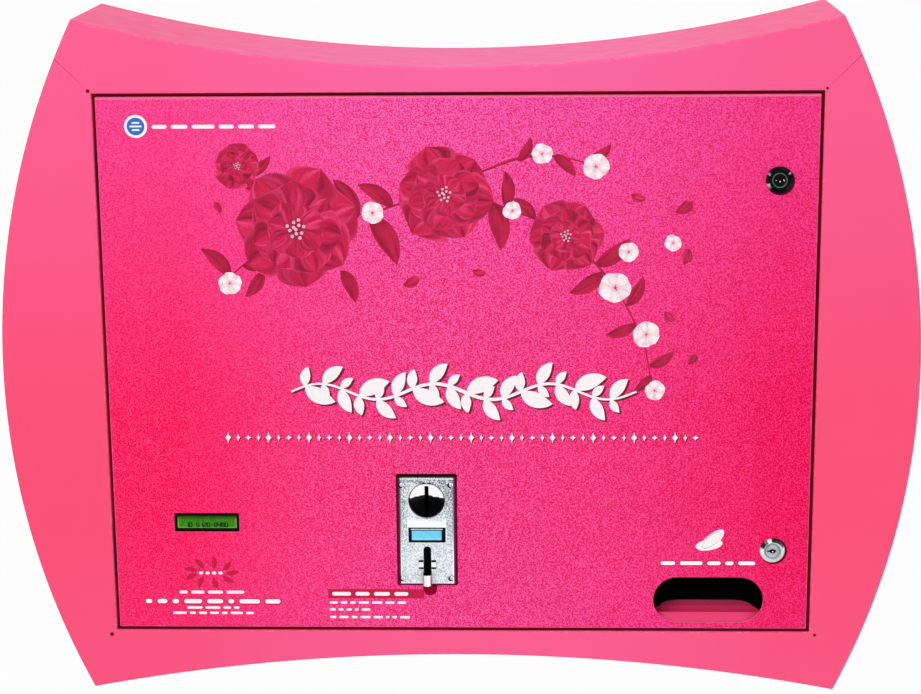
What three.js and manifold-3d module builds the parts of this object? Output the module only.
// Wall-hung vending cabinet with an inset door, a curved surround and four vend coils.
// Millimetres, +Z up. The origin is the middle of the wall face, level with the door's middle.
// +Y runs into the wall, so the front faces -Y, and +X is on the right of someone who stands before it.

import * as THREE from 'three';
import { mergeVertices } from 'three/addons/utils/BufferGeometryUtils.js';
import Module from 'manifold-3d';

const wasm = await Module();
wasm.setup();

// Clearances and sheet
const SEAM = 0.3; // gap between pieces that touch
const OVERRUN = 6; // how far a cutter runs past what it cuts
const SHEET = 1.5; // steel of cabinet, surround and door
const THIN_SHEET = 1.2; // steel of the inner trays and brackets

// Cabinet and door
const DEPTH = 184; // wall face to door face
const DOOR_WIDTH = 780;
const DOOR_HEIGHT = 606.8;
const DOOR_REVEAL = 3.5; // open gap all round the door
const DOOR_FOLD = 20; // depth of the door's folded edge
const BACK_FOLD = 15; // depth of the back panel's folded edge

// Surround, seen from the front
const SIDE_MARGIN = 117; // widest place beyond the door's edge
const SIDE_RADIUS = 856; // bulging side arc
const SIDE_DROP = 5; // the widest place lies this far below the door's middle
const TOP_MARGIN = 30.1; // lowest place of the hollow top arc above the door
const TOP_RADIUS = 1626.5;
const BOTTOM_MARGIN = 32.6; // highest place of the hollow bottom arc below the door
const BOTTOM_RADIUS = 2200;
const SURROUND_LIP = 14; // lip that lies on the wall
const SURROUND_FOLD = 24; // fold into the cabinet's mouth
const MITRE_GAP = 0.6; // open seam between two wings
const RELIEF = 4.8; // side of the corner relief notch
const ARC_STEPS = 14;

// Hinges at the door's left edge
const HINGE_INSET = 6; // pin axis from the door's edge and from its face
const HINGE_HEIGHT = 60;
const HINGE_END = 88.4; // hinge middle to the door's upper or lower edge
const KNUCKLE_RADIUS = 4;
const PIN_RADIUS = 1.5;
const KNUCKLE_COUNT = 5;
const PIN_HEAD = 1.6; // height of the pin's head
const DOOR_LEAF_WIDTH = 30;
const FRAME_LEAF_OFFSET = 3; // frame leaf left of the pin axis
const FRAME_LEAF_REACH = 30; // from the pin axis back to the leaf's jog
const FRAME_LEAF_FOOT = 30; // foot on the cabinet's side
const HINGE_NOTCH = 3; // extra height of the notch in the door's fold
const LEAF_SHEET = 1.5;

// Cam locks at the door's right edge
const UPPER_LOCK_INSET = 42.5; // plug axis from the door's right edge
const UPPER_LOCK_DROP = 92.8; // and from its upper edge
const UPPER_LOCK_HEAD = 14.75; // radius
const UPPER_LOCK_PLUG = 7.4; // radius
const LOWER_LOCK_INSET = 40.4;
const LOWER_LOCK_RISE = 93.8; // from the door's lower edge
const LOWER_LOCK_HEAD = 14;
const LOWER_LOCK_PLUG = 9.2;
const LOCK_PROUD = 3.2; // head in front of the door's face
const LOCK_WALL = 2; // wall of the barrel round the plug
const LOCK_LENGTH = 27.5; // door's face to the barrel's rear end
const LOCK_CHAMFER = 1.2;
const KEYWAY_WIDTH = 2.2;
const KEYWAY_LENGTH = 8.4;
const KEYWAY_DEPTH = 4;
const PLUG_SINK = 0.6; // plug face behind the head's face
const CAM_LENGTH = 38; // plug axis to the cam's tip
const CAM_WIDTH = 13;
const CAM_SHEET = 2;
const CAM_SCREW_RADIUS = 4;
const CAM_SCREW_HEIGHT = 2.4;
const LOCK_NUT_WIDTH = 5; // ring nut's rim beyond the barrel
const LOCK_NUT_HEIGHT = 4.5;
const KEEPER_HEIGHT = 40;
const KEEPER_REACH = 23; // keeper's flange in from the cabinet's side
const KEEPER_FOOT = 30;

// Coin unit in the door
const COIN_X = -37.2; // plate's middle from the door's middle
const COIN_RISE = 116.7; // and from its lower edge
const PLATE_WIDTH = 63.7;
const PLATE_HEIGHT = 127.7;
const PLATE_PROUD = 3.6;
const PLATE_BEVEL = 1.6;
const PLATE_CORNER = 2.5; // radius of the plate's corners
const ACCEPTOR_WIDTH = 52;
const ACCEPTOR_HEIGHT = 116;
const ACCEPTOR_DEPTH = 54; // door's rear face to the body's rear
const ACCEPTOR_TAPER = 9; // slanted rear corner of the body
const ENTRY_RISE = 36.2; // entry disc above the plate's middle
const ENTRY_RADIUS = 19.5;
const ENTRY_DISH = 3; // hollow of the disc's face
const ENTRY_THICK = 7;
const DISH_STEPS = 3;
const ENTRY_PROUD = 1.6; // disc's rim in front of the plate
const ENTRY_TRAVEL = 3; // push of the disc
const COIN_SLOT_WIDTH = 3.6;
const COIN_SLOT_HEIGHT = 30;
const DISPLAY_WIDTH = 41.7;
const DISPLAY_HEIGHT = 18.3;
const DISPLAY_DROP = 4; // display below the plate's middle
const DISPLAY_FRAME = 2.2; // black frame round the display's lens
const DISPLAY_THICK = 3;
const DISPLAY_HOOD = 10.5; // height of the wedge-shaped hood above the display
const DISPLAY_HOOD_PROUD = 3;
const RETURN_WIDTH = 8.5;
const RETURN_TOP_DROP = 18; // upper end of the return slot below the plate's middle
const RETURN_BOTTOM_DROP = 54.3;
const RETURN_DEPTH = 16; // pocket behind the plate's face
const RIDGE_WIDTH = 19.3; // raised bar that crosses the return slot
const RIDGE_HEIGHT = 8.6;
const RIDGE_DROP = 39.1;
const RIDGE_PROUD = 2;
const BOSS_WIDTH = 17.6; // raised ground below the bar
const BOSS_HEIGHT = 17;
const BOSS_PROUD = 1.2;
const CUP_RADIUS = 4.9;
const CUP_WALL = 0.9;
const CUP_HEIGHT = 13;
const CUP_BOTTOM_DROP = 61.3;
const CUP_PROUD = 13; // cup's front before the plate's face
const PLATE_SCREW_INSET_X = 4.2;
const PLATE_SCREW_INSET_Z = 8.8;
const PLATE_SCREW_RADIUS = 3.2;
const PLATE_SCREW_HEIGHT = 1.9;

// Character display in the door
const LCD_INSET = 104.2; // window's middle from the door's left edge
const LCD_RISE = 125.4; // and from its lower edge
const LCD_WIDTH = 73.3; // cut-out in the door
const LCD_HEIGHT = 22.3;
const LCD_VIEW_WIDTH = 67.4;
const LCD_VIEW_HEIGHT = 15.3;
const LCD_DEPTH = 7;
const LCD_SINK = 0.8; // bezel's face behind the door's face
const LCD_VIEW_SINK = 1.2; // glass behind the bezel's face
const LCD_BOARD_WIDTH = 84;
const LCD_BOARD_HEIGHT = 38;
const BOARD_THICK = 1.6;
const LCD_STUD_RADIUS = 1.6;
const LCD_STUD_INSET = 3.2;
const LCD_STUD_TAIL = 3; // stud behind the board

// Product opening, collection tray and drop chute
const OPENING_INSET = 111; // opening's middle from the door's right edge
const OPENING_RISE = 34.5; // and from its lower edge
const OPENING_WIDTH = 123.4;
const OPENING_HEIGHT = 53.9;
const TRAY_MARGIN = 1.6; // tray's inside beyond the opening on each side and below
const TRAY_FRONT_GAP = 1; // tray behind the door's skin
const TRAY_FLOOR_DEPTH = 32; // level floor, from the door's face
const TRAY_UPSTAND = 11; // rear edge of the level floor
const TRAY_HEAD_ROOM = 6; // tray's side walls above the opening
const RAMP_REAR_RISE = 62; // ramp's rear edge above the tray's floor
const CHUTE_FRONT_GAP = 38; // chute's front wall behind the door's face
const CHUTE_TOP_DROP = 18; // chute's top below the cabinet's roof
const CHUTE_FOOT = 16;

// Shelves, vend coils and their drives
const SHELF_COUNT = 4;
const SHELF_BASE_RISE = 185.4; // lowest shelf's underside above the door's lower edge
const SHELF_HEAD_ROOM = 5.4; // top row's space below the door's upper edge
const SHELF_END_GAP = 7.7; // shelves' end, where the product drops off, to the shaft
const SHELF_DEPTH = 122;
const SHELF_REAR_RISE = 30;
const SHELF_FRONT_RISE = 16;
const BULKHEAD_INSET = 58; // bulkhead's left face from the door's left edge
const BULKHEAD_DEPTH = 140;
const BULKHEAD_FOLD = 18;
const BULKHEAD_SPARE = 14; // bulkhead beyond the lowest shelf and the highest coil
const COIL_SPARE = 24; // shelves' pitch less the coil's mean diameter
const COIL_TURNS = 14;
const COIL_STEPS = 8; // steps a turn
const COIL_SIDES = 5;
const COIL_REAR_GAP = 32; // wall to the coil's rear
const COIL_END_SPARE = 4; // coil's last turn short of the shelf's end
const COIL_FLOOR_GAP = 2.5; // wire above the shelf
const WIRE_RADIUS = 2.5;
const HUB_RIM = 3; // flange beyond the coil's mean radius
const HUB_FLANGE = 4;
const HUB_BOSS_RADIUS = 13;
const HUB_BOSS = 8;
const HUB_WINDOW_SHARE = 0.209; // lightening hole's radius, of the flange's
const HUB_WINDOW_CIRCLE_SHARE = 0.628;
const HUB_WINDOWS = 5;
const HUB_GAP = 1.2; // hub's boss from the bulkhead
const SHAFT_RADIUS = 4;
const SHAFT_ENTRY = 9; // shaft inside the hub
const GEARBOX_HEIGHT = 62;
const GEARBOX_WIDTH = 40;
const GEARBOX_DEPTH = 20;
const GEARBOX_CORNER = 6;
const GEARBOX_RISE = 20; // gearbox above the output shaft
const MOTOR_RADIUS = 13;
const MOTOR_LENGTH = 26;
const MOTOR_OFFSET = 16; // motor can below the output shaft
const MOTOR_BOSS_RADIUS = 9; // gearbox boss that fills the bulkhead's hole
const MOTOR_TAIL_RADIUS = 4;
const MOTOR_TAIL = 2.5;

// Cash box on the door, under the coin unit
const CASH_WIDTH = 150;
const CASH_HEIGHT = 40;
const CASH_DEPTH = 48;
const CASH_FLOOR_RISE = 6; // cage's underside above the door's lower fold
const CASH_GAP = 1; // running gap before and behind the box in its cage
const CASH_MOUTH_WIDTH = 44;
const CASH_MOUTH_DEPTH = 26;
const CASH_GRIP_WIDTH = 16;
const CASH_GRIP_PROUD = 10;

// Door stiffeners
const STIFFENER_X_SHARES = [-0.27, 0.2]; // of the door's width
const STIFFENER_WIDTH = 34;
const STIFFENER_DEPTH = 12;
const STIFFENER_FOOT = 11;
const STIFFENER_TOP_DROP = 24; // below the door's upper edge
const STIFFENER_BOTTOM_RISE = 195.4; // above the door's lower edge

// Electrics in the lower part of the cabinet
const SUPPLY_INSET = 72; // middle from the door's left edge
const SUPPLY_WIDTH = 110;
const SUPPLY_DEPTH = 82;
const SUPPLY_HEIGHT = 38;
const SUPPLY_BACK = 2; // behind it, to the back panel's folded edge
const SUPPLY_SLOTS = 9;
const SUPPLY_SLOT_WIDTH = 2.4;
const SUPPLY_SLOT_LENGTH_SHARE = 0.6;
const SUPPLY_TERMINAL_WIDTH = 16;
const SUPPLY_TERMINAL_DROP = 18;
const CONTROLLER_X = -60;
const CONTROLLER_RISE = 91.4; // middle above the door's lower edge
const CONTROLLER_WIDTH = 160;
const CONTROLLER_HEIGHT = 100;
const CONTROLLER_STAND_OFF = 10;
const CONTROLLER_POST_RADIUS = 3;
const CONTROLLER_POST_INSET = 6;
const CHIP_WIDTH_SHARE = 0.2; // of the controller's width
const CHIP_HEIGHT_SHARE = 0.12; // of its height
const CHIP_THICK = 5;
const RELAY_HEIGHT = 15;
const RELAY_WIDTH = 19;
const RELAY_COUNT = 4;
const SWITCH_INSET = 140;
const SWITCH_RISE = 98.4;
const SWITCH_WIDTH = 22;
const SWITCH_HEIGHT = 30;
const SWITCH_DEPTH = 26;
const SWITCH_FLANGE = 2; // flange beyond the switch body, and its thickness
const SWITCH_WALL = 2.4;
const ROCKER_ANGLE = 24; // degrees from off to on
const ROCKER_RADIUS = 9.4;
const SWITCH_PLATE_WIDTH = 60;
const SWITCH_PLATE_HEIGHT = 56;
const SWITCH_PLATE_RISE = 34; // switch plate in front of the back panel
const SWITCH_PLATE_FOOT = 12;
const GROMMET_GAP = 50; // grommet's middle left of the controller board
const GROMMET_RISE = 41.4;
const GROMMET_RADIUS = 12;
const GROMMET_BORE = 6;
const GROMMET_PROUD = 4;
const GROMMET_FLANGE = 3;

// Wall keyholes and screws
const KEYHOLE_X_SHARE = 0.78; // of the door's half width
const KEYHOLE_Z_SHARE = 0.83; // of its half height
const KEYHOLE_RADIUS = 7;
const KEYHOLE_SLOT_RADIUS = 3.2;
const KEYHOLE_RISE = 14;
const CORNER_STEPS = 4; // flats round a small quarter turn
const HEXAGON_SIDES = 6;
const SCREW_SIDES = 8;
const SMALL_SIDES = 12;
const ROUND_SIDES = 20;
const FINE_SIDES = 28;

// Places worked out from the driving sizes
const FRONT = -DEPTH;
const DOOR_HALF_WIDTH = DOOR_WIDTH / 2;
const DOOR_HALF_HEIGHT = DOOR_HEIGHT / 2;
const SIDE_REACH = DOOR_HALF_WIDTH + SIDE_MARGIN;
const TOP_RISE = DOOR_HALF_HEIGHT + TOP_MARGIN;
const BOTTOM_DROP = DOOR_HALF_HEIGHT + BOTTOM_MARGIN;
const HINGE_SPREAD = DOOR_HALF_HEIGHT - HINGE_END;
const UPPER_LOCK_X = DOOR_HALF_WIDTH - UPPER_LOCK_INSET;
const UPPER_LOCK_Z = DOOR_HALF_HEIGHT - UPPER_LOCK_DROP;
const LOWER_LOCK_X = DOOR_HALF_WIDTH - LOWER_LOCK_INSET;
const LOWER_LOCK_Z = -DOOR_HALF_HEIGHT + LOWER_LOCK_RISE;
const COIN_Z = -DOOR_HALF_HEIGHT + COIN_RISE;
const LCD_X = -DOOR_HALF_WIDTH + LCD_INSET;
const LCD_Z = -DOOR_HALF_HEIGHT + LCD_RISE;
const OPENING_X = DOOR_HALF_WIDTH - OPENING_INSET;
const OPENING_Z = -DOOR_HALF_HEIGHT + OPENING_RISE;
const SUPPLY_X = -DOOR_HALF_WIDTH + SUPPLY_INSET;
const CONTROLLER_Z = -DOOR_HALF_HEIGHT + CONTROLLER_RISE;
const SWITCH_X = -DOOR_HALF_WIDTH + SWITCH_INSET;
const SWITCH_Z = -DOOR_HALF_HEIGHT + SWITCH_RISE;
const GROMMET_X = CONTROLLER_X - CONTROLLER_WIDTH / 2 - GROMMET_GAP;
const GROMMET_Z = -DOOR_HALF_HEIGHT + GROMMET_RISE;
const STIFFENER_BOTTOM_Z = -DOOR_HALF_HEIGHT + STIFFENER_BOTTOM_RISE;
const MOUTH_X = DOOR_HALF_WIDTH + DOOR_REVEAL;
const MOUTH_Z = DOOR_HALF_HEIGHT + DOOR_REVEAL;
const WRAP_INSIDE_X = MOUTH_X + SHEET + SEAM;
const WRAP_INSIDE_Z = MOUTH_Z + SHEET + SEAM;
const WRAP_X = WRAP_INSIDE_X + SHEET;
const WRAP_Z = WRAP_INSIDE_Z + SHEET;
const SKIN_REAR = FRONT + SHEET;
const PANEL_FRONT = -SHEET;
const PANEL_FACE = PANEL_FRONT - SEAM;
const HINGE_X = -DOOR_HALF_WIDTH + HINGE_INSET;
const HINGE_Y = FRONT + HINGE_INSET;
const KNUCKLE_PITCH = HINGE_HEIGHT / KNUCKLE_COUNT;
const CAM_FRONT = FRONT + LOCK_LENGTH + SEAM;
const SHELF_BASE_Z = -DOOR_HALF_HEIGHT + SHELF_BASE_RISE;
const SHELF_PITCH = (DOOR_HALF_HEIGHT - SHELF_HEAD_ROOM - SHELF_BASE_Z) / SHELF_COUNT;
const COIL_RADIUS = (SHELF_PITCH - COIL_SPARE) / 2; // middle of the wire
const COIL_Y = -COIL_RADIUS - COIL_REAR_GAP;
const HUB_RADIUS = COIL_RADIUS + HUB_RIM;
const HUB_WINDOW_RADIUS = HUB_RADIUS * HUB_WINDOW_SHARE;
const HUB_WINDOW_CIRCLE = HUB_RADIUS * HUB_WINDOW_CIRCLE_SHARE;
const BULKHEAD_X = -DOOR_HALF_WIDTH + BULKHEAD_INSET;
const COIL_LIFT = THIN_SHEET + COIL_FLOOR_GAP + WIRE_RADIUS + COIL_RADIUS;
const BULKHEAD_RIGHT = BULKHEAD_X + SHEET;
const HUB_LEFT = BULKHEAD_RIGHT + HUB_GAP;
const HUB_LENGTH = HUB_BOSS + HUB_FLANGE;
const COIL_LEFT = HUB_LEFT + HUB_LENGTH + SEAM;
const TRAY_INSIDE_LEFT = OPENING_X - OPENING_WIDTH / 2 - TRAY_MARGIN;
const SHELF_RIGHT_X = TRAY_INSIDE_LEFT - SHELF_END_GAP;
const COIL_RIGHT = SHELF_RIGHT_X - COIL_END_SPARE - WIRE_RADIUS;
const TRAY_INSIDE_RIGHT = OPENING_X + OPENING_WIDTH / 2 + TRAY_MARGIN;
const TRAY_FLOOR_Z = OPENING_Z - OPENING_HEIGHT / 2 - TRAY_MARGIN;
const TRAY_TOP_Z = OPENING_Z + OPENING_HEIGHT / 2 + TRAY_HEAD_ROOM;
const CHUTE_FRONT = FRONT + CHUTE_FRONT_GAP;
const CHUTE_TOP_Z = WRAP_INSIDE_Z - CHUTE_TOP_DROP;
const CAGE_BOTTOM_Z = -DOOR_HALF_HEIGHT + SHEET + CASH_FLOOR_RISE;
const CASH_BOTTOM_Z = CAGE_BOTTOM_Z + THIN_SHEET + SEAM;
const CASH_FRONT = SKIN_REAR + SEAM + THIN_SHEET + CASH_GAP;

// Directions and small helpers
const X_AXIS = new THREE.Vector3(1, 0, 0);
const Y_AXIS = new THREE.Vector3(0, 1, 0);
const Z_AXIS = new THREE.Vector3(0, 0, 1);
const TURN = 2 * Math.PI;

// A closed geometry as a solid: shared corners are merged and collapsed triangles dropped
function toSolid(geometry) {
  const bare = geometry.clone();
  bare.deleteAttribute('normal');
  bare.deleteAttribute('uv');
  const merged = mergeVertices(bare);
  const corners = merged.attributes.position.array;
  const kept = [];
  let volume = 0;
  for (let i = 0; i < merged.index.count; i += 3) {
    const [a, b, c] = [0, 1, 2].map((k) => merged.index.getX(i + k));
    if (a === b || b === c || c === a) continue;
    kept.push([a, b, c]);
    const [p, q, r] = [a, b, c].map((k) => new THREE.Vector3().fromArray(corners, 3 * k));
    volume += p.dot(q.cross(r));
  }
  const facing = volume > 0 ? kept : kept.map(([a, b, c]) => [a, c, b]);
  return new wasm.Manifold(new wasm.Mesh({
    numProp: 3,
    vertProperties: new Float32Array(corners),
    triVerts: new Uint32Array(facing.flat()),
  }));
}

function toGeometry(solid) {
  const mesh = solid.getMesh();
  const geometry = new THREE.BufferGeometry();
  geometry.setAttribute('position', new THREE.BufferAttribute(mesh.vertProperties, 3));
  geometry.setIndex(new THREE.BufferAttribute(mesh.triVerts, 1));
  geometry.computeVertexNormals();
  return geometry;
}

function joined(solids) {
  return solids.reduce((whole, next) => whole.add(next));
}

function without(solid, cutters) {
  return cutters.reduce((rest, cutter) => rest.subtract(cutter), solid);
}

function extruded(shape, length, curveSegments = CORNER_STEPS) {
  return new THREE.ExtrudeGeometry(shape, { depth: length, bevelEnabled: false, curveSegments });
}

// A shape drawn in X and Z, thick from front to rear along Y
function slab(shape, front, rear, curveSegments) {
  const geometry = extruded(shape, rear - front, curveSegments);
  geometry.rotateX(Math.PI / 2);
  geometry.translate(0, rear, 0);
  return toSolid(geometry);
}

// A profile drawn in Y and Z, run from left to right along X
function rail(shape, left, right, curveSegments) {
  const geometry = extruded(shape, right - left, curveSegments);
  geometry.applyMatrix4(new THREE.Matrix4().makeBasis(Y_AXIS, Z_AXIS, X_AXIS));
  geometry.translate(left, 0, 0);
  return toSolid(geometry);
}

// A profile drawn in X and Y, run up along Z
function post(shape, bottom, top, curveSegments) {
  const geometry = extruded(shape, top - bottom, curveSegments);
  geometry.translate(0, 0, bottom);
  return toSolid(geometry);
}

function block(low, high) {
  const [width, depth, height] = high.map((value, i) => value - low[i]);
  const geometry = new THREE.BoxGeometry(width, depth, height);
  geometry.translate(...high.map((value, i) => (value + low[i]) / 2));
  return toSolid(geometry);
}

function rod(radius, start, end, sides = ROUND_SIDES) {
  const from = new THREE.Vector3(...start);
  const to = new THREE.Vector3(...end);
  const geometry = new THREE.CylinderGeometry(radius, radius, from.distanceTo(to), sides);
  const direction = to.clone().sub(from).normalize();
  geometry.applyQuaternion(new THREE.Quaternion().setFromUnitVectors(Y_AXIS, direction));
  geometry.translate(...from.add(to).multiplyScalar(1 / 2));
  return toSolid(geometry);
}

// A profile of radius and Y, turned round the Y axis
function turned(profile, sides = ROUND_SIDES) {
  const points = profile.map(([radius, y]) => new THREE.Vector2(radius, y));
  return toSolid(new THREE.LatheGeometry(points, sides));
}

function rectangle(width, height, x = 0, z = 0) {
  const shape = new THREE.Shape();
  shape.moveTo(x - width / 2, z - height / 2);
  shape.lineTo(x + width / 2, z - height / 2);
  shape.lineTo(x + width / 2, z + height / 2);
  shape.lineTo(x - width / 2, z + height / 2);
  shape.closePath();
  return shape;
}

function roundedRectangle(width, height, radius, x = 0, z = 0) {
  const right = width / 2 - radius;
  const top = height / 2 - radius;
  const shape = new THREE.Shape();
  shape.absarc(x + right, z + top, radius, 0, TURN / 4);
  shape.absarc(x - right, z + top, radius, TURN / 4, TURN / 2);
  shape.absarc(x - right, z - top, radius, TURN / 2, 3 * TURN / 4);
  shape.absarc(x + right, z - top, radius, 3 * TURN / 4, TURN);
  shape.closePath();
  return shape;
}

function polygon(points) {
  return new THREE.Shape(points.map(([a, b]) => new THREE.Vector2(a, b)));
}

// A folded sheet's profile: the sheet lies on the left of the way along the points
function folded(points, thickness) {
  const line = points.map(([a, b]) => new THREE.Vector2(a, b));
  const normals = line.slice(1).map((point, i) => {
    const along = point.clone().sub(line[i]).normalize();
    return new THREE.Vector2(-along.y, along.x);
  });
  const offset = line.map((point, i) => {
    const before = normals[Math.max(i - 1, 0)];
    const after = normals[Math.min(i, normals.length - 1)];
    const mitre = before.clone().add(after).normalize();
    return point.clone().addScaledVector(mitre, thickness / mitre.dot(after));
  });
  return new THREE.Shape([...line, ...offset.reverse()]);
}

// Finishes
function finish(color, roughness, metalness) {
  return new THREE.MeshStandardMaterial({ color, roughness, metalness, flatShading: true });
}

const wingPaint = () => finish(0xfd5a85, 0.55, 0);
const doorPaint = () => finish(0xf63a72, 0.5, 0);
const insidePaint = () => finish(0xe84a7c, 0.55, 0);
const bareSteel = () => finish(0xaeb4b8, 0.42, 0.9);
const springSteel = () => finish(0xc9ccd0, 0.25, 1);
const castAluminium = () => finish(0xb9c1c6, 0.45, 0.8);
const chrome = () => finish(0xe6e8ea, 0.1, 1);
const blackGloss = () => finish(0x121214, 0.2, 0);
const blackPlastic = () => finish(0x1d1d20, 0.6, 0);
const greyPlastic = () => finish(0x6c7176, 0.6, 0);
const whitePlastic = () => finish(0xe7e7e2, 0.5, 0);
const blackSheet = () => finish(0x17171a, 0.7, 0.1);
const greenGlass = () => finish(0x3f7a18, 0.15, 0);
const cyanGlass = () => finish(0x6cc6e0, 0.15, 0);
const greenBoard = () => finish(0x1f5b37, 0.5, 0);
const rubber = () => finish(0x242426, 0.85, 0);

function piece(name, solid, material) {
  const mesh = new THREE.Mesh(toGeometry(solid), material);
  mesh.name = name;
  return mesh;
}

function groupAt(x, y, z, pieces) {
  const group = new THREE.Group();
  group.position.set(x, y, z);
  group.add(...pieces);
  return group;
}

// Surround: one hollow-sided pan, cut into four wings at the mitres
function rightMeeting(a, radiusA, b, radiusB) {
  const between = b.clone().sub(a);
  const distance = between.length();
  const along = (radiusA ** 2 - radiusB ** 2 + distance ** 2) / (2 * distance);
  const across = Math.sqrt(radiusA ** 2 - along ** 2);
  const unit = between.divideScalar(distance);
  const foot = a.clone().addScaledVector(unit, along);
  const side = new THREE.Vector2(unit.y, -unit.x);
  const candidates = [across, -across].map((step) => foot.clone().addScaledVector(side, step));
  return candidates[0].x > candidates[1].x ? candidates[0] : candidates[1];
}

function arcPoints(centre, radius, from, to) {
  const start = Math.atan2(from.y - centre.y, from.x - centre.x);
  const end = Math.atan2(to.y - centre.y, to.x - centre.x);
  const sweep = THREE.MathUtils.euclideanModulo(end - start + Math.PI, TURN) - Math.PI;
  return Array.from({ length: ARC_STEPS }, (_, i) => {
    const angle = start + (sweep * i) / ARC_STEPS;
    return new THREE.Vector2(centre.x + radius * Math.cos(angle), centre.y + radius * Math.sin(angle));
  });
}

function surroundOutline(inset) {
  const right = new THREE.Vector2(SIDE_REACH - SIDE_RADIUS, -SIDE_DROP);
  const left = new THREE.Vector2(-right.x, right.y);
  const above = new THREE.Vector2(0, TOP_RISE + TOP_RADIUS);
  const below = new THREE.Vector2(0, -BOTTOM_DROP - BOTTOM_RADIUS);
  const sideRadius = SIDE_RADIUS - inset;
  const topRight = rightMeeting(right, sideRadius, above, TOP_RADIUS + inset);
  const bottomRight = rightMeeting(right, sideRadius, below, BOTTOM_RADIUS + inset);
  const topLeft = new THREE.Vector2(-topRight.x, topRight.y);
  const bottomLeft = new THREE.Vector2(-bottomRight.x, bottomRight.y);
  return new THREE.Shape([
    ...arcPoints(right, sideRadius, bottomRight, topRight),
    ...arcPoints(above, TOP_RADIUS + inset, topRight, topLeft),
    ...arcPoints(left, sideRadius, topLeft, bottomLeft),
    ...arcPoints(below, BOTTOM_RADIUS + inset, bottomLeft, bottomRight),
  ]);
}

function surroundPan() {
  const lipFront = -SHEET;
  const pan = without(slab(surroundOutline(0), FRONT, 0), [
    slab(surroundOutline(SHEET), FRONT + SHEET, lipFront),
    slab(surroundOutline(SURROUND_LIP), lipFront - OVERRUN, OVERRUN),
  ]);
  const foldX = MOUTH_X + SHEET;
  const foldZ = MOUTH_Z + SHEET;
  const mouthFold = slab(rectangle(2 * foldX, 2 * foldZ), FRONT, FRONT + SURROUND_FOLD);
  const mouth = slab(rectangle(2 * MOUTH_X, 2 * MOUTH_Z), FRONT - OVERRUN, OVERRUN);
  const reliefs = [-1, 1].flatMap((side) => [-1, 1].map((end) => {
    const notch = new THREE.BoxGeometry(RELIEF, 2 * (SURROUND_FOLD + OVERRUN), RELIEF);
    notch.rotateY(TURN / 8);
    notch.translate(side * foldX, FRONT, end * foldZ);
    return toSolid(notch);
  }));
  return without(pan.add(mouthFold), [mouth, ...reliefs]);
}

// The corner lines run outward at 45 degrees from the mouth's corners
function mitredSector(across, along) {
  const start = along - MITRE_GAP;
  const reach = SIDE_REACH;
  return polygon([[-start, across], [start, across],
    [start + reach, across + reach], [-start - reach, across + reach]]);
}

function surroundWings() {
  const pan = surroundPan();
  const cut = (sector) => pan.intersect(sector);
  const sector = (across, along, turns) => {
    const geometry = extruded(mitredSector(across, along), DEPTH);
    geometry.rotateX(Math.PI / 2);
    geometry.rotateY(turns * TURN / 4);
    return toSolid(geometry);
  };
  return [
    piece('surround_top', cut(sector(MOUTH_Z, MOUTH_X, 0)), wingPaint()),
    piece('surround_right', cut(sector(MOUTH_X, MOUTH_Z, 1)), wingPaint()),
    piece('surround_bottom', cut(sector(MOUTH_Z, MOUTH_X, 2)), wingPaint()),
    piece('surround_left', cut(sector(MOUTH_X, MOUTH_Z, 3)), wingPaint()),
  ];
}

// Cabinet: a wrap of four sides and a back panel inside it
function cabinetWrap() {
  const front = FRONT + SHEET + SEAM;
  const inside = slab(rectangle(2 * WRAP_INSIDE_X, 2 * WRAP_INSIDE_Z), front - OVERRUN, OVERRUN);
  return without(slab(rectangle(2 * WRAP_X, 2 * WRAP_Z), front, 0), [inside]);
}

function keyhole(x, z) {
  const round = rod(KEYHOLE_RADIUS, [x, -OVERRUN, z], [x, OVERRUN, z], SMALL_SIDES);
  const low = [x - KEYHOLE_SLOT_RADIUS, -OVERRUN, z];
  const neck = block(low, [x + KEYHOLE_SLOT_RADIUS, OVERRUN, z + KEYHOLE_RISE]);
  const top = z + KEYHOLE_RISE;
  const seat = rod(KEYHOLE_SLOT_RADIUS, [x, -OVERRUN, top], [x, OVERRUN, top], SMALL_SIDES);
  return joined([round, neck, seat]);
}

function backPanel() {
  const halfX = WRAP_INSIDE_X - SEAM;
  const halfZ = WRAP_INSIDE_Z - SEAM;
  const pan = slab(rectangle(2 * halfX, 2 * halfZ), -BACK_FOLD, 0);
  const hollow = slab(rectangle(2 * (halfX - SHEET), 2 * (halfZ - SHEET)), -BACK_FOLD - OVERRUN, PANEL_FRONT);
  const keyholes = [-1, 1].flatMap((side) => [-1, 1].map((end) => keyhole(
    side * DOOR_HALF_WIDTH * KEYHOLE_X_SHARE,
    end * DOOR_HALF_HEIGHT * KEYHOLE_Z_SHARE,
  )));
  const cable = rod(GROMMET_RADIUS - GROMMET_FLANGE, [GROMMET_X, -OVERRUN, GROMMET_Z],
    [GROMMET_X, OVERRUN, GROMMET_Z]);
  return without(joined([pan.subtract(hollow), ...controllerPosts()]), [...keyholes, cable]);
}

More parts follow.
